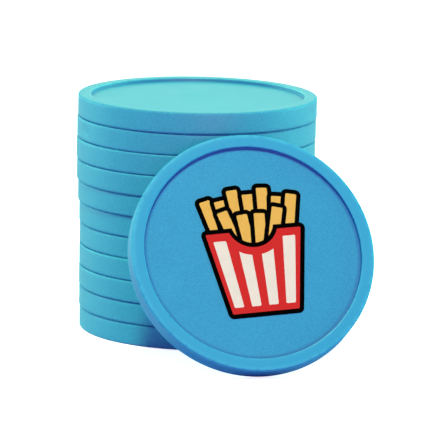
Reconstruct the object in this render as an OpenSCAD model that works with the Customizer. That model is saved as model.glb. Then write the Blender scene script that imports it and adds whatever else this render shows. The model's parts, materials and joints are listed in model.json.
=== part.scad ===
// A stack of round moulded plastic tokens, with one printed token leaning on it.
// Millimetres, +Z up. The origin is on the table, at the centre of the whole group's footprint.

/* [Token] */
// Outer diameter of every token
token_d = 29; // [25:0.5:40]
// Thickness over the rims
token_t = 2.6; // [2:0.1:4]
// Width of the raised rim
rim_w = 1.55; // [1:0.05:3]
// How far each face lies below its rim
recess_depth = 0.45; // [0.3:0.05:0.7]
// Rounding of the rim's outer edges
edge_r = 0.25; // [0.1:0.05:0.45]
// Rounding of the rim's inner edges
lip_r = 0.14; // [0.05:0.01:0.2]
// Fillet where a sunk face meets its rim
root_r = 0.1; // [0.05:0.01:0.12]

/* [Stack] */
// How many tokens lie in the stack
stack_count = 11; // [6:1:16]
// Gap between one token's rim and the next
seat_gap = 0.01; // [0:0.01:0.1]
// Slow sway of the pile, off its axis to each side
pile_sway = 0.3; // [0:0.02:0.4]
// Shift of a token against its neighbours
token_shift = 0.1; // [0:0.02:0.2]

/* [Leaning token] */
// How far it leans back from upright, in degrees
lean = 29; // [15:1:40]
// Where it touches the stack, in degrees round from the front
touch_turn = 18.5; // [0:0.5:40]
// Where its printed face looks, in degrees round from the front
face_turn = 12.5; // [0:0.5:40]
// Gap between its back edge and a true cylinder round the pile's axis
lean_gap = 0.15; // [0.1:0.05:0.6]

/* [Print] */
// Thickness of the ink
ink_t = 0.05; // [0.02:0.01:0.1]
// Width of the dark line round every shape
line_w = 0.54; // [0.3:0.02:0.6]
// Middle of the carton's base, to the right of the face's centre
print_right = 0.95; // [-2:0.05:2]
// Middle of the carton's base, below the face's centre
print_down = 7.2; // [6:0.1:8]
// Turn of the print on the face, in degrees
print_turn = 4; // [-15:1:15]
// Carton's width at its base
carton_base_w = 8; // [6:0.1:10]
// Carton's width at its top edge
carton_top_w = 11.5; // [9:0.1:12]
// Carton's height
carton_h = 9.9; // [8:0.1:11]
// Radius of the dip in the carton's top edge
dip_r = 3.1; // [2.5:0.1:3.6]
// Depth of that dip
dip_depth = 2; // [1.5:0.1:2.4]
// Number of stripes on the carton
stripe_count = 4; // [2:1:6]
// Stripe's width as a share of the space between stripe centres
stripe_share = 0.55; // [0.3:0.05:0.7]
// Red border above and below the stripes
stripe_border = 0.95; // [0.6:0.05:1.4]
// Number of fries in the back row
back_count = 7; // [3:1:9]
// Number of fries in the front row
front_count = 4; // [2:1:6]
// Width of one fry
fry_w = 1.3; // [0.9:0.05:1.6]
// How far the tallest back fry stands above the carton
fry_h = 5.3; // [3:0.1:5.6]
// Spread of the outermost fries, in degrees
fry_fan = 13; // [0:1:18]

/* [Hidden] */
$fn = 96;
token_r = token_d / 2;
recess_r = token_r - rim_w;
web_t = token_t - 2 * recess_depth;
token_step = token_t + seat_gap;
stack_h = stack_count * token_step - seat_gap;

// Each token lies a little off the axis of the pile.
function sway_x(i) = pile_sway * cos(18 * i) - token_shift * sin(60 * i);
function sway_y(i) = pile_sway / 3 * sin(18 * i) + 0.8 * token_shift * sin(85 * i + 55);
drift_x = [for (i = [0:stack_count - 1]) sway_x(i)];
drift_y = [for (i = [0:stack_count - 1]) sway_y(i)];

// The leaning token turns about the centre of the rounding of its lowest back edge.
// Its back rests on the side of the stack, or on the top token's edge if the stack is lower.
foot_to_top = 2 * (token_r - edge_r);
top_edge_z = edge_r + foot_to_top * cos(lean);
foot_out = top_edge_z < stack_h - edge_r
    ? foot_to_top * sin(lean) + edge_r
    : (2 * edge_r + (stack_h - 2 * edge_r) * sin(lean)) / cos(lean) - edge_r;
touch_r = token_r + lean_gap;
foot_x = touch_r * sin(touch_turn) + foot_out * sin(face_turn);
foot_y = -touch_r * cos(touch_turn) - foot_out * cos(face_turn);

// Reach of the leaning token along a row axis, from its foot: a thin disc grown by edge_r.
face_out = [sin(face_turn) * cos(lean), -cos(face_turn) * cos(lean)];
face_up = [-sin(face_turn) * sin(lean), cos(face_turn) * sin(lean)];
half_core = token_t / 2 - edge_r;
function reach(axis, side) = (token_r - edge_r) * face_up[axis] + half_core * face_out[axis]
    + side * ((token_r - edge_r) * sqrt(1 - face_out[axis] ^ 2)
    + half_core * abs(face_out[axis]) + edge_r);

// The stack's axis stands where the whole group is centred on the origin.
stack_x = -(min(min(drift_x) - token_r, foot_x + reach(0, -1))
    + max(max(drift_x) + token_r, foot_x + reach(0, 1))) / 2;
stack_y = -(min(min(drift_y) - token_r, foot_y + reach(1, -1))
    + max(max(drift_y) + token_r, foot_y + reach(1, 1))) / 2;

token_blue = [0.25, 0.66, 0.80];
face_blue = [0.24, 0.62, 0.79];

function token_name(i) = str("token_", i < 9 ? "0" : "", i + 1);

// ---- token ----

// The piece that a rounding of radius r takes off a square corner, or adds in a square nook
module corner(r) difference() {
    square(r);
    translate([r, r]) circle(r);
}

// The rim's lower half: outer edge and inner lip rounded, with a fillet to the sunk face
module rim_half() {
    difference() {
        translate([recess_r, 0]) square([rim_w, token_t / 2]);
        translate([token_r, 0]) mirror([1, 0]) corner(edge_r);
        translate([recess_r, 0]) corner(lip_r);
    }
    translate([recess_r, recess_depth]) mirror([1, 0]) mirror([0, 1]) corner(root_r);
}

module token_section() {
    translate([0, recess_depth]) square([recess_r, web_t]);
    rim_half();
    translate([0, token_t]) mirror([0, 1]) rim_half();
}

// One token, its lower rim on z = 0
module token() rotate_extrude() token_section();

module stack_token(i)
    color(token_blue)
        translate([stack_x + drift_x[i], stack_y + drift_y[i], i * token_step])
            token();

// ---- leaning token ----

// Puts what is made on a token lying flat where the leaning token is
module leaned()
    translate([stack_x + foot_x, stack_y + foot_y, edge_r])
        rotate([90 - lean, 0, face_turn])
            translate([0, token_r - edge_r, -edge_r])
                children();

module leaning_token() color(face_blue) leaned() token();

// ---- print ----

// Turns the corner p, between a and b, through an arc of radius r
arc_steps = 6;
function unit(v) = v / norm(v);
function corner_arc(a, p, b, r) = let (
    along = unit(p - a),
    onward = unit(b - p),
    turn = acos(along * onward),
    centre = p + unit(onward - along) * r / cos(turn / 2),
    start = atan2(along[1], along[0]) - 90
) [for (k = [0:arc_steps]) centre + r * [cos(start + turn * k / arc_steps), sin(start + turn * k / arc_steps)]];
// A convex outline, given anticlockwise, with its corners rounded
function rounded(pts, r) = let (n = len(pts))
    [for (i = [0:n - 1]) each corner_arc(pts[(i + n - 1) % n], pts[i], pts[(i + 1) % n], r)];

small_r = 0.15;
carton_flare = atan((carton_top_w - carton_base_w) / 2 / carton_h);
function carton_half(y) = carton_base_w / 2 + y * tan(carton_flare);

// The carton's front, grown by g all round, with the dip in its top edge
module carton(g) difference() {
    grow = g / cos(carton_flare);
    polygon(rounded([
        [-carton_half(-g) - grow, -g], [carton_half(-g) + grow, -g],
        [carton_half(carton_h + g) + grow, carton_h + g], [-carton_half(carton_h + g) - grow, carton_h + g]
    ], small_r + g));
    dip(-g);
}

// The circle that dips into the carton's top edge, grown by g
module dip(g) translate([0, carton_h + dip_r - dip_depth]) circle(dip_r + g);

// The stripes narrow towards the base as the carton does, and stay clear of the dip
module stripes() {
    low = stripe_border * 0.8;
    high = carton_h - stripe_border;
    difference() {
        for (k = [0:stripe_count - 1]) {
            mid = (2 * k + 1) / stripe_count - 1;
            half = stripe_share / stripe_count;
            polygon(rounded([
                [carton_half(low) * (mid - half), low], [carton_half(low) * (mid + half), low],
                [carton_half(high) * (mid + half), high], [carton_half(high) * (mid - half), high]
            ], small_r));
        }
        dip(stripe_border);
    }
}

// Each fry is [x of its foot, height of its tip above the carton, tilt]; later ones lie in front.
function spread(i, n) = n > 1 ? 2 * i / (n - 1) - 1 : 0;
back_row = [for (i = [0:back_count - 1]) let (s = spread(i, back_count))
    [s * (carton_top_w / 2 - fry_w * 1.1), fry_h - 1.1 * s ^ 2 - (i % 2 == 1 ? 0.8 : 0), -s * fry_fan]];
front_row = [for (i = [0:front_count - 1]) let (s = spread(i, front_count))
    [s * dip_r * 0.85, fry_h * 0.38 + 0.7 * s ^ 2, -s * fry_fan * 1.2]];
fries = concat(back_row, front_row);
fry_root = 2.6;

// One fry, grown by g all round
module fry(f, g)
    translate([f[0], carton_h])
        rotate(f[2])
            translate([0, -fry_root - g])
                polygon(rounded([
                    [-fry_w / 2 - g, 0], [fry_w / 2 + g, 0],
                    [fry_w / 2 + g, fry_root + f[1] + 2 * g], [-fry_w / 2 - g, fry_root + f[1] + 2 * g]
                ], small_r + g));

// What shows of every fry: none of it under a fry in front or the carton
module fry_faces() {
    last = len(fries) - 1;
    for (k = [0:last]) difference() {
        fry(fries[k], 0);
        if (k < last) for (j = [k + 1:last]) fry(fries[j], line_w);
        carton(line_w);
    }
}

// Lays a flat shape as ink on the printed face
module inked()
    leaned()
        translate([print_right, -print_down, token_t - recess_depth])
            rotate(print_turn)
                linear_extrude(ink_t)
                    children();

module print_outline() color("black") inked() difference() {
    union() {
        for (f = fries) fry(f, line_w);
        carton(line_w);
        dip(0);
    }
    fry_faces();
    carton(0);
}

module print_carton() color([0.84, 0.18, 0.18]) inked() difference() {
    carton(0);
    stripes();
}

module print_stripes() color([0.92, 0.88, 0.84]) inked() stripes();

module print_fries() color([0.92, 0.71, 0.35]) inked() fry_faces();

for (i = [0:stack_count - 1]) stack_token(i);
leaning_token();
print_outline();
print_carton();
print_stripes();
print_fries();
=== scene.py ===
import json
import math

import bpy
from mathutils import Euler, Matrix, Vector


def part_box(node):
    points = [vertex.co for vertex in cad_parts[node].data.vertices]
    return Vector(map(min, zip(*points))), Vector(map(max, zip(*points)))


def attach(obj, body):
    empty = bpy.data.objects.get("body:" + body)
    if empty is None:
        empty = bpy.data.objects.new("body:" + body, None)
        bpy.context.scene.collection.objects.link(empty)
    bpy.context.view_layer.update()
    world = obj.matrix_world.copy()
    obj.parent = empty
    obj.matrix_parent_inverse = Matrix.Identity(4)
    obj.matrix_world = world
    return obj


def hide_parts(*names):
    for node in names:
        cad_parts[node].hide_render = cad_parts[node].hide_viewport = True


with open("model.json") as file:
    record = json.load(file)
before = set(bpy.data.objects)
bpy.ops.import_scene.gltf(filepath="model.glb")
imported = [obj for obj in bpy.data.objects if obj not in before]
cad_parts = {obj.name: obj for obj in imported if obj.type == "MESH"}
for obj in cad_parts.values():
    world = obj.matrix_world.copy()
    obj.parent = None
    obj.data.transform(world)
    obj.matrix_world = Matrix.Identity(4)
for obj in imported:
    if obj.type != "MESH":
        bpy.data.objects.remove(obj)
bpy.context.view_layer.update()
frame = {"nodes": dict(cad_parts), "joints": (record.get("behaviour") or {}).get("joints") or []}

mm = 0.001
scene = bpy.context.scene
stackNames = sorted(name for name in frame["nodes"] if name.startswith("token_"))
tipUp = next(joint for joint in frame["joints"] if joint["name"] == "tip_up")


# ---- node helpers ----

class Link:
    # wraps one output socket, so that sums on sockets read as plain expressions
    def __init__(self, graph, socket):
        self.graph, self.socket = graph, socket

    def sum(self, operation, *values):
        return self.graph.node("ShaderNodeMath", {"operation": operation}, dict(enumerate(values)))

    def __add__(self, other):
        return self.sum("ADD", self, other)

    def __sub__(self, other):
        return self.sum("SUBTRACT", self, other)

    def __rsub__(self, other):
        return self.sum("SUBTRACT", other, self)

    def __mul__(self, other):
        return self.sum("MULTIPLY", self, other)

    def __truediv__(self, other):
        return self.sum("DIVIDE", self, other)

    def __pow__(self, other):
        return self.sum("POWER", self, other)

    def __neg__(self):
        return self.sum("MULTIPLY", self, -1.0)

    def __abs__(self):
        return self.sum("ABSOLUTE", self)

    __radd__ = __add__

    def least(self, other):
        return self.sum("MINIMUM", self, other)

    def cos(self):
        return self.sum("COSINE", self)

    def sin(self):
        return self.sum("SINE", self)

    def rise(self, low, high):
        # 0 at low, 1 at high, smooth between them; low may be the larger one
        settings = {"interpolation_type": "SMOOTHSTEP", "clamp": True}
        sockets = {"Value": self, "From Min": low, "From Max": high}
        return self.graph.node("ShaderNodeMapRange", settings, sockets)


class Graph:
    # adds nodes to one tree: a node's settings go in first, then the values or links of its sockets
    def __init__(self, tree):
        self.tree = tree
        tree.nodes.clear()

    def add(self, kind, settings=None, sockets=None):
        node = self.tree.nodes.new(kind)
        for key, value in (settings or {}).items():
            if key == "items":
                while len(node.index_switch_items) < value:
                    node.index_switch_items.new()
            else:
                setattr(node, key, value)
        for key, value in (sockets or {}).items():
            if isinstance(value, Link):
                self.tree.links.new(value.socket, node.inputs[key])
            else:
                node.inputs[key].default_value = value
        return node

    def node(self, kind, settings=None, sockets=None, out=0):
        return Link(self, self.add(kind, settings, sockets).outputs[out])

    def outputs(self, kind, settings=None, sockets=None):
        return [Link(self, socket) for socket in self.add(kind, settings, sockets).outputs]

    def mix(self, factor, colourA, colourB):
        sockets = {0: factor, 6: colourA, 7: colourB}
        return self.node("ShaderNodeMix", {"data_type": "RGBA"}, sockets, out=2)

    def vector(self, x, y, z):
        return self.node("ShaderNodeCombineXYZ", None, {0: x, 1: y, 2: z})

    def noise(self, where, scale, detail=2.0, roughness=0.5):
        sockets = {"Vector": where, "Scale": scale, "Detail": detail, "Roughness": roughness}
        return self.node("ShaderNodeTexNoise", None, sockets)


def srgb(red, green, blue):
    # a 0 to 255 display colour as the linear colour that a shader takes
    def linear(level):
        level /= 255
        return level / 12.92 if level <= 0.04045 else ((level + 0.055) / 1.055) ** 2.4
    return linear(red), linear(green), linear(blue), 1.0


# ---- camera ----

cameraView = {
    "distance": 495.2 * mm,     # from the stack's axis, level
    "height": 106.6 * mm,       # above the table
    "aside": -0.05 * mm,        # left of the stack's axis
    "yaw": math.radians(0.256),
    "pitch": math.radians(10.614),
    "roll": math.radians(1.12),
    "lens": 345.8,              # on a 36 mm sensor
}


def stackAxis():
    centres = [(low + high) / 2 for low, high in map(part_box, stackNames)]
    middle = sum(centres, Vector()) / len(centres)
    return Vector((middle.x, middle.y, 0.0))


def makeCamera(look):
    camera = bpy.data.objects.new("camera", bpy.data.cameras.new("camera"))
    camera.data.lens = look["lens"]
    camera.data.sensor_width = 36.0
    camera.data.clip_start = 0.01
    camera.data.clip_end = 20.0
    ahead = Vector((math.sin(look["yaw"]) * math.cos(look["pitch"]),
                    math.cos(look["yaw"]) * math.cos(look["pitch"]), -math.sin(look["pitch"])))
    level = Vector((math.cos(look["yaw"]), -math.sin(look["yaw"]), 0.0))
    above = level.cross(ahead)
    right = math.cos(look["roll"]) * level + math.sin(look["roll"]) * above
    up = -math.sin(look["roll"]) * level + math.cos(look["roll"]) * above
    turn = Matrix((right, up, -ahead)).transposed().to_4x4()
    stand = stackAxis() + Vector((look["aside"], -look["distance"], look["height"]))
    camera.matrix_world = Matrix.Translation(stand) @ turn
    scene.collection.objects.link(camera)
    scene.camera = camera


makeCamera(cameraView)
print("camera set")

# ---- plastic and ink ----

stackPlastic = {
    "deep": (0.047, 0.410, 0.590, 1.0),
    "pale": (0.061, 0.495, 0.665, 1.0),
    # tone of scuffs, scratches and specks, and of the painted highlights
    "scuffAndHighlight": (0.085, 0.610, 0.730, 1.0),
    # painted shade at the foot of the rims
    "nook": (0.030, 0.200, 0.470, 1.0),
    "rim": (0.048, 0.480, 0.655, 1.0),
    "rimPaintedLightShare": 0.0,            # how much paler the rims are painted, as painted light
    # painted shade for the seams between stacked tokens
    "edge": (0.040, 0.280, 0.550, 1.0),
    "paintedEdgeShare": 0.45,          # how far the outer edges are painted in their own tone: painted shade in the stack's seams, a painted highlight on the printed token
    "highlightBandShare": 0.0,            # how strong the painted highlight is in the band beside those edges
    "lipScuffAndHighlightShare": 0.75,           # how far the rims' inner edges are scuffed and given a painted highlight
    "nookShadeShare": 0.8,           # how much painted shade darkens the foot of each rim
    "scratchShare": 0.12,
    "speckShare": 0.35,
    "scratches": (              # turn, length, width and share of each set
        (0.5, 9 * mm, 0.07 * mm, 0.28),
        (-0.9, 6 * mm, 0.06 * mm, 0.27),
    ),
    "roughness": 0.42,
    "grain": 0.17 * mm,         # size of the moulded grain
    "cloud": 5.0 * mm,          # size of the soft patches of tone
    "smearScale": 120.0,        # the last three count patches, spots and specks per metre
    "wearScale": 1500.0,
    "speckScale": 420.0,
    "grainHeight": 0.007 * mm,
    "seed": 0.0,                # moves the grain, so that the two plastics don't share it
}
facePlastic = {
    **stackPlastic,
    "deep": (0.020, 0.298, 0.570, 1.0),
    "pale": (0.027, 0.360, 0.650, 1.0),
    # brightened for the painted highlights
    "scuffAndHighlight": (0.042, 0.480, 0.745, 1.0),
    # painted shade, darker still on the printed token
    "nook": (0.005, 0.120, 0.440, 1.0),
    # rim painted paler, as painted light
    "rim": (0.024, 0.390, 0.680, 1.0),
    "rimPaintedLightShare": 0.8,
    # painted highlight on the outer edge
    "edge": (0.040, 0.430, 0.700, 1.0),
    "paintedEdgeShare": 0.5,
    "highlightBandShare": 0.9,
    "seed": 0.4,
}

wearAndPaintedLightPlaces = ("edge", "rub", "lip", "nook", "rim")      # attributes that every token carries: masks for wear, painted shade and painted highlights


def scratches(graph, where, turn, length, width, share):
    # long thin marks: noise that is stretched along one direction, of which only the peaks count
    settings = {"vector_type": "TEXTURE"}
    sockets = {"Vector": where, "Rotation": (0.0, 0.4, turn), "Scale": (length, width, width)}
    stretched = graph.node("ShaderNodeMapping", settings, sockets)
    return graph.noise(stretched, 1.0, detail=1.0).rise(1.0 - share, 1.04 - share)


def makePlastic(name, look):
    material = bpy.data.materials.new(name)
    material.use_nodes = True
    graph = Graph(material.node_tree)
    where = graph.node("ShaderNodeTexCoord", None, None, out="Object")
    where = graph.node("ShaderNodeMapping", None, {"Vector": where, "Location": (look["seed"], 0.0, 0.0)})
    edge, rub, lip, nook, rim = (
        graph.node("ShaderNodeAttribute", {"attribute_name": name}, None, out="Fac") for name in wearAndPaintedLightPlaces)
    cloud = graph.noise(where, 1 / look["cloud"], detail=3.0)
    grain = graph.noise(where, 1 / look["grain"], roughness=0.4)
    smear = graph.noise(where, look["smearScale"], detail=4.0)
    # patchy mask that breaks up the scuffs and the painted shade and highlights
    worn = graph.noise(where, look["wearScale"], detail=4.0).rise(0.30, 0.60)
    longMarks, shortMarks = (scratches(graph, where, *marks) for marks in look["scratches"])
    scratched = longMarks + shortMarks
    speckSockets = {"Vector": where, "Scale": look["speckScale"]}
    speck = graph.node("ShaderNodeTexVoronoi", None, speckSockets, out="Distance").rise(0.07, 0.04)

    tone = (cloud * 0.2 + grain * 0.8).rise(0.34, 0.66)
    colour = graph.mix(tone, look["deep"], look["pale"])
    # painted light: the rims painted paler than the field
    colour = graph.mix(rim * look["rimPaintedLightShare"], colour, look["rim"])
    # painted shade at the foot of each rim
    colour = graph.mix(nook * look["nookShadeShare"], colour, look["nook"])
    # painted highlight in a band beside the outer edge
    colour = graph.mix(rub * worn * look["highlightBandShare"], colour, look["scuffAndHighlight"])
    # outer edges: painted shade in the stack's seams, a painted highlight on the printed token
    colour = graph.mix(edge * worn * look["paintedEdgeShare"], colour, look["edge"])
    # scuffs on the rims' inner edges, partly a painted highlight
    colour = graph.mix(lip * worn * look["lipScuffAndHighlightShare"], colour, look["scuffAndHighlight"])
    colour = graph.mix(scratched * look["scratchShare"], colour, look["scuffAndHighlight"])
    colour = graph.mix(speck * look["speckShare"], colour, look["scuffAndHighlight"])

    roughness = look["roughness"] + (grain - 0.5) * 0.16 + (smear - 0.5) * 0.14
    roughness = roughness + edge * 0.2 - lip * 0.08 + scratched * 0.1
    height = grain + cloud * 0.8 - scratched * 0.35 - speck * 0.6
    bump = graph.node("ShaderNodeBump", None,
                      {"Height": height, "Strength": 1.0, "Distance": look["grainHeight"]})
    shader = graph.node("ShaderNodeBsdfPrincipled", None, {
        "Base Color": colour, "Roughness": roughness, "Normal": bump, "IOR": 1.49,
    })
    graph.add("ShaderNodeOutputMaterial", None, {"Surface": shader})
    return material


inks = {
    "print_outline": {
        "colour": (0.0005, 0.0005, 0.0005, 1.0),
        "worn": (0.001, 0.001, 0.001, 1.0),
        "shine": 0.01,
    },
    "print_carton": {"colour": srgb(219, 38, 40), "worn": srgb(215, 41, 42), "shine": 0.1},
    "print_stripes": {"colour": srgb(246, 229, 218), "worn": srgb(242, 225, 214), "shine": 0.15},
    "print_fries": {"colour": srgb(243, 185, 90), "worn": srgb(239, 181, 88), "shine": 0.12},
}
inkLayer = {
    # what all the inks share; the three scales count patches per metre
    "roughness": 0.6,
    "grainScale": 7000.0,
    "mottleScale": 900.0,
    "thinScale": 2600.0,
    "grainHeight": 0.003 * mm,
}


def makeInk(name, look):
    # printed ink: slightly mottled, with the printing screen's fine grain and a few thin places
    material = bpy.data.materials.new(name)
    material.use_nodes = True
    graph = Graph(material.node_tree)
    where = graph.node("ShaderNodeTexCoord", None, None, out="Object")
    grain = graph.noise(where, inkLayer["grainScale"])
    mottle = graph.noise(where, inkLayer["mottleScale"], detail=4.0, roughness=0.6)
    thin = graph.noise(where, inkLayer["thinScale"]).rise(0.66, 0.74)
    colour = graph.mix((mottle.rise(0.35, 0.7) + thin).least(1.0), look["colour"], look["worn"])
    height = grain * 0.6 + mottle * 0.8 - thin
    bump = graph.node("ShaderNodeBump", None,
                      {"Height": height, "Strength": 1.0, "Distance": inkLayer["grainHeight"]})
    roughness = inkLayer["roughness"] + (mottle - 0.5) * 0.2 + thin * 0.1
    shader = graph.node("ShaderNodeBsdfPrincipled", None, {
        "Base Color": colour, "Roughness": roughness, "Normal": bump, "IOR": 1.45,
        "Specular IOR Level": look["shine"],
    })
    graph.add("ShaderNodeOutputMaterial", None, {"Surface": shader})
    return material


blankPlastic = makePlastic("blankPlastic", stackPlastic)
printedPlastic = makePlastic("printedPlastic", facePlastic)
print("plastics and inks mixed")

# ---- tokens ----

tokenShape = {
    "Rim Width": 1.55 * mm,
    "Recess Depth": 0.45 * mm,
    "Edge Rounding": 0.25 * mm,
    "Lip Rounding": 0.14 * mm,
    "Nook Fillet": 0.1 * mm,
    "Unevenness": 0.012 * mm,
    "Gate Depth": 0.05 * mm,
    "Pin Depth": 0.03 * mm,
    "Turns": 256,
}
latheSteps = {
    "rounding": 7,              # faces round each rounding
    "longest": 0.42 * mm,       # longest face along the outline
    "merge": 0.001 * mm,        # points closer than this become one
}
mouldMarks = {
    "gateWidth": 0.9 * mm,      # half the gate mark's width
    "gateHeight": 0.5 * mm,     # half its height
    "pinCount": 3,
    "pinRing": 8.4 * mm,        # radius of the ring on which the pin marks lie
    "pinRadius": 1.5 * mm,
}
unevenSize = 3.2 * mm           # size of the moulding's slight waves
# where the gate marks face, in radians, and what keeps each token's waves its own
gateTurn = {"lowest": 0.8, "step": 2.4, "printed": 4.1}
waveSeed = {"step": 0.05, "printed": 0.8}


def tokenTree():
    # turns the half outline of a token round its axis, and adds the marks of its mould
    tree = bpy.data.node_groups.new("tokenLathe", "GeometryNodeTree")
    tree.interface.new_socket("Geometry", in_out="OUTPUT", socket_type="NodeSocketGeometry")
    kinds = {"Turns": "NodeSocketInt", "Place": "NodeSocketVector", "Tilt": "NodeSocketVector",
             "Plastic": "NodeSocketMaterial"}
    names = ["Radius", "Thickness", *tokenShape, "Gate Turn", "Seed", "Place", "Tilt", "Plastic"]
    ids = {}
    for name in names:
        kind = kinds.get(name, "NodeSocketFloat")
        ids[name] = tree.interface.new_socket(name, in_out="INPUT", socket_type=kind).identifier
    graph = Graph(tree)
    given = dict(zip(names, graph.outputs("NodeGroupInput")))
    radius, thick = given["Radius"], given["Thickness"]
    depth = given["Recess Depth"]
    field = radius - given["Rim Width"]

    # the half outline, from the axis under the token to the axis above it
    corners = [(0.0, depth), (field, depth), (field, 0.0), (radius, 0.0),
               (radius, thick), (field, thick), (field, thick - depth), (0.0, thick - depth)]
    lower = [0.0, given["Nook Fillet"], given["Lip Rounding"], given["Edge Rounding"]]
    order = graph.node("GeometryNodeInputIndex")
    pick = {0: order, **{n + 1: graph.vector(r, 0.0, z) for n, (r, z) in enumerate(corners)}}
    corner = graph.node("GeometryNodeIndexSwitch", {"data_type": "VECTOR", "items": 8}, pick)
    pick = {0: order, **{n + 1: r for n, r in enumerate(lower + lower[::-1])}}
    rounding = graph.node("GeometryNodeIndexSwitch", {"data_type": "FLOAT", "items": 8}, pick)
    outline = graph.node("GeometryNodeMeshLine", None, {"Count": 8})
    outline = graph.node("GeometryNodeSetPosition", None, {"Geometry": outline, "Position": corner})
    outline = graph.node("GeometryNodeMeshToCurve", None, {"Mesh": outline})
    outline = graph.node("GeometryNodeFilletCurve", {"mode": "POLY"},
                         {"Curve": outline, "Count": latheSteps["rounding"],
                          "Radius": rounding, "Limit Radius": True})
    here = graph.node("GeometryNodeInputPosition")
    following = graph.node("GeometryNodeFieldAtIndex", {"data_type": "FLOAT_VECTOR"},
                           {"Value": here, "Index": order + 1})
    span = graph.node("ShaderNodeVectorMath", {"operation": "DISTANCE"},
                      {0: here, 1: following}, out="Value")
    cuts = span / latheSteps["longest"]
    outline = graph.node("GeometryNodeSubdivideCurve", None, {"Curve": outline, "Cuts": cuts})
    count = graph.node("GeometryNodeAttributeDomainSize", {"component": "CURVE"}, {"Geometry": outline})

    # one turn of it: along x the sheet follows the outline, along y it goes round the axis
    sheet = graph.node("GeometryNodeMeshGrid", None, {
        "Size X": 1.0, "Size Y": 1.0, "Vertices X": count, "Vertices Y": given["Turns"] + 1})
    along, around, _ = graph.outputs("ShaderNodeSeparateXYZ", None, {0: here})
    step = graph.node("FunctionNodeFloatToInt", None, {0: (along + 0.5) * (count - 1.0)})
    point = graph.node("GeometryNodeSampleIndex", {"data_type": "FLOAT_VECTOR"},
                       {"Geometry": outline, "Value": here, "Index": step})
    out, _, level = graph.outputs("ShaderNodeSeparateXYZ", None, {0: point})
    angle = (0.5 - around) * math.tau       # this way round, the faces look outwards
    turned = graph.vector(out * angle.cos(), out * angle.sin(), level)
    body = graph.node("GeometryNodeSetPosition", None, {"Geometry": sheet, "Position": turned})
    body = graph.node("GeometryNodeMergeByDistance", None,
                      {"Geometry": body, "Distance": latheSteps["merge"]})

    # where a face lies on the token, for the mould's marks, for wear and for the painted shade and
    # highlights
    x, y, z = graph.outputs("ShaderNodeSeparateXYZ", None, {0: here})
    reach = (x * x + y * y) ** 0.5
    fromFace = z.least(thick - z)
    outerEdge = ((radius - reach) ** 2 + fromFace ** 2) ** 0.5
    lipEdge = ((reach - field) ** 2 + fromFace ** 2) ** 0.5
    nookEdge = ((reach - field) ** 2 + (fromFace - depth) ** 2) ** 0.5
    # mask for the outer edges' painted shade and highlight, and for their roughness
    edge = outerEdge.rise(given["Edge Rounding"] * 1.1, given["Edge Rounding"] * 0.4)
    # band for the painted highlight beside the outer edge
    rub = outerEdge.rise(given["Edge Rounding"] * 2.0, given["Edge Rounding"] * 0.8)
    lip = lipEdge.rise(given["Lip Rounding"] * 1.2, given["Lip Rounding"] * 0.4)
    # mask for the painted shade at the foot of each rim
    nook = nookEdge.rise(given["Nook Fillet"] * 4.0, given["Nook Fillet"] * 1.5)
    # mask for the rims' painted paler tone
    rim = reach.rise(field, field + given["Lip Rounding"]) * fromFace.rise(depth * 0.6, depth * 0.2)
    for name, value in zip(wearAndPaintedLightPlaces, (edge, rub, lip, nook, rim)):
        body = graph.node("GeometryNodeStoreNamedAttribute", {"data_type": "FLOAT"},
                          {"Geometry": body, "Name": name, "Value": value})

    # slight unevenness, always inwards, so that the token keeps its size
    seedShift = graph.vector(given["Seed"], given["Seed"] * 0.37, 0.0)
    place = graph.node("ShaderNodeVectorMath", {"operation": "ADD"}, {0: here, 1: seedShift})
    dip = graph.noise(place, 1 / unevenSize) * given["Unevenness"]
    # the gate mark: a flat spot on the side, where the plastic came in
    gateX = x * given["Gate Turn"].cos() + y * given["Gate Turn"].sin()
    gateY = y * given["Gate Turn"].cos() - x * given["Gate Turn"].sin()
    gateWidth, gateHeight = mouldMarks["gateWidth"], mouldMarks["gateHeight"]
    gate = abs(gateY).rise(gateWidth, gateWidth * 0.75)
    gate = gate * abs(z - thick / 2).rise(gateHeight, gateHeight * 0.7)
    gate = gate * gateX.rise(radius * 0.97, radius * 0.98)
    dip = dip + gate * given["Gate Depth"]
    # the ejector pins' round marks, in the lower face only
    pinRing, pinRadius = mouldMarks["pinRing"], mouldMarks["pinRadius"]
    for n in range(mouldMarks["pinCount"]):
        pinAngle = math.tau * n / mouldMarks["pinCount"]
        pinX, pinY = pinRing * math.cos(pinAngle), pinRing * math.sin(pinAngle)
        fromPin = ((x - pinX) ** 2 + (y - pinY) ** 2) ** 0.5
        pin = fromPin.rise(pinRadius * 1.12, pinRadius * 0.88) * z.rise(0.6 * mm, 0.5 * mm)
        dip = dip + pin * given["Pin Depth"]
    facing = graph.node("GeometryNodeInputNormal")
    inward = graph.node("ShaderNodeVectorMath", {"operation": "SCALE"}, {0: facing, "Scale": -dip})
    body = graph.node("GeometryNodeSetPosition", None, {"Geometry": body, "Offset": inward})
    body = graph.node("GeometryNodeSetShadeSmooth", None, {"Geometry": body})
    body = graph.node("GeometryNodeTransform", None,
                      {"Geometry": body, "Translation": given["Place"], "Rotation": given["Tilt"]})
    body = graph.node("GeometryNodeRealizeInstances", None, {"Geometry": body})
    body = graph.node("GeometryNodeSetMaterial", None, {"Geometry": body, "Material": given["Plastic"]})
    graph.add("NodeGroupOutput", None, {"Geometry": body})
    return tree, ids


def makeToken(name, body, node, values):
    maker = bpy.data.objects.new("maker", bpy.data.meshes.new("maker"))
    scene.collection.objects.link(maker)
    modifier = maker.modifiers.new("lathe", "NODES")
    modifier.node_group = lathe
    for key, value in {**tokenShape, **values}.items():
        modifier[latheInputs[key]] = value
    shaped = maker.evaluated_get(bpy.context.evaluated_depsgraph_get())
    mesh = bpy.data.meshes.new_from_object(shaped)
    maker.modifiers.clear()
    bpy.data.objects.remove(maker)
    mesh.name = name
    piece = bpy.data.objects.new(name, mesh)
    scene.collection.objects.link(piece)
    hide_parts(node)
    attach(piece, body)


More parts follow.
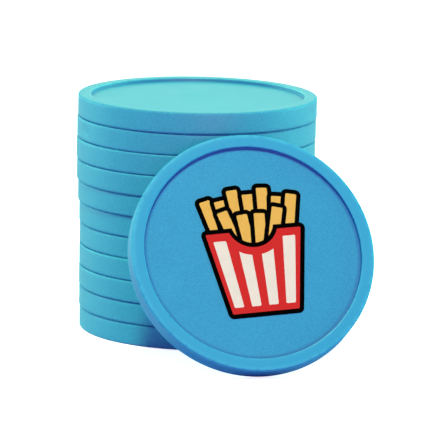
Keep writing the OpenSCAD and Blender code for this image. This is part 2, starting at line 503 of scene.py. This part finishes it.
lathe, latheInputs = tokenTree()
firstLow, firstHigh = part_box(stackNames[0])
tokenRadius = (firstHigh.x - firstLow.x) / 2
tokenThick = firstHigh.z - firstLow.z

for number, node in enumerate(stackNames):
    low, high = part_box(node)
    makeToken(f"blankToken_{number + 1:02d}", node, node, {
        "Radius": tokenRadius, "Thickness": tokenThick,
        "Gate Turn": number * gateTurn["step"] + gateTurn["lowest"], "Seed": waveSeed["step"] * number,
        "Place": ((low.x + high.x) / 2, (low.y + high.y) / 2, low.z), "Tilt": (0.0, 0.0, 0.0),
        "Plastic": blankPlastic,
    })
print("stack moulded:", len(stackNames), "tokens")

lean = math.radians(tipUp["range_deg"][1])
faceTurn = math.atan2(tipUp["axis"][1], tipUp["axis"][0])
leanTurn = Euler((math.pi / 2 - lean, 0.0, faceTurn))
edgeRound = tokenShape["Edge Rounding"]
fromFoot = Vector((0.0, tokenRadius - edgeRound, -edgeRound))
leanPlace = Vector(tipUp["pos_m"]) + leanTurn.to_matrix() @ fromFoot
makeToken("printedToken", "leaning_token", "leaning_token", {
    "Radius": tokenRadius, "Thickness": tokenThick,
    "Gate Turn": gateTurn["printed"], "Seed": waveSeed["printed"],
    "Place": leanPlace, "Tilt": leanTurn, "Plastic": printedPlastic,
})
print("leaning token moulded")

for node, look in inks.items():
    inkMesh = frame["nodes"][node].data
    inkMesh.materials.clear()
    inkMesh.materials.append(makeInk(node.replace("print_", "ink_"), look))
print("print inked")

# ---- floor and light ----

floorLook = {
    "radius": 3.0,
    "colour": srgb(240, 241, 242),
    "bounce": (0.32, 0.34, 0.68, 1.0),  # the floor's colour as the tokens are lit by it
    "shine": 0.6,                       # share of the white that mirrored rays see
    "glow": 0.8,                        # lifts the floor to the backdrop's white
}
lamps = {
    # name: (turn from the front, height angle, both in degrees, size, colour, watts)
    "key": (-3, 67.5, 0.2, (0.50, 0.915, 0.51), 20.6),
    "left": (-110, 8, 0.9, (0.34, 0.80, 0.56), 18.0),
    "right": (106, 10, 0.9, (0.24, 1.0, 0.60), 17.5),
    "backLeft": (-140, 17, 0.9, (0.34, 0.95, 0.57), 7.0),
    "backRight": (140, 17, 0.9, (0.30, 1.0, 0.68), 5.0),
    "back": (180, 12, 0.9, (0.60, 1.0, 0.60), 2.5),
    "front": (16, 8, 0.8, (1.0, 0.10, 0.42), 7.2),
}
lampDistance = 1.4
skyFill = (0.22, 0.05, 0.31, 1.0)
white = (1.0, 1.0, 1.0, 1.0)


def makeFloor(look):
    bpy.ops.mesh.primitive_circle_add(vertices=96, radius=look["radius"], fill_type="NGON")
    floor = bpy.context.object
    floor.name = "floor"
    material = bpy.data.materials.new("floor")
    material.use_nodes = True
    graph = Graph(material.node_tree)
    rays = graph.add("ShaderNodeLightPath").outputs
    seen, mirrored = Link(graph, rays["Is Camera Ray"]), Link(graph, rays["Is Glossy Ray"])
    colour = graph.mix(seen + mirrored * look["shine"], look["bounce"], look["colour"])
    matt = graph.node("ShaderNodeBsdfDiffuse", None, {"Color": colour})
    glow = graph.node("ShaderNodeEmission", None, {"Color": white, "Strength": seen * look["glow"]})
    both = graph.node("ShaderNodeAddShader", None, {0: matt, 1: glow})
    graph.add("ShaderNodeOutputMaterial", None, {"Surface": both})
    floor.data.materials.append(material)


def makeLamp(name, turn, rise, size, colour, watts):
    lamp = bpy.data.lights.new(name, "AREA")
    lamp.shape = "DISK"
    lamp.size = size
    lamp.color = colour
    lamp.energy = watts
    holder = bpy.data.objects.new(name, lamp)
    turn, rise = math.radians(turn), math.radians(rise)
    outward = Vector((math.sin(turn) * math.cos(rise), -math.cos(turn) * math.cos(rise), math.sin(rise)))
    holder.location = lampDistance * outward
    holder.rotation_euler = (-outward).to_track_quat("-Z", "Y").to_euler()
    holder.visible_camera = False
    scene.collection.objects.link(holder)


def makeSky(fill):
    # white where the camera sees it, dimmer as a light
    world = bpy.data.worlds.new("studio")
    scene.world = world
    world.use_nodes = True
    graph = Graph(world.node_tree)
    seen = graph.node("ShaderNodeLightPath", None, None, out="Is Camera Ray")
    colour = graph.mix(seen, fill, white)
    sky = graph.node("ShaderNodeBackground", None, {"Color": colour, "Strength": 1.0})
    graph.add("ShaderNodeOutputWorld", None, {"Surface": sky})


makeFloor(floorLook)
for name, look in lamps.items():
    makeLamp(name, *look)
makeSky(skyFill)
scene.view_settings.view_transform = "Standard"
print("floor and light set")
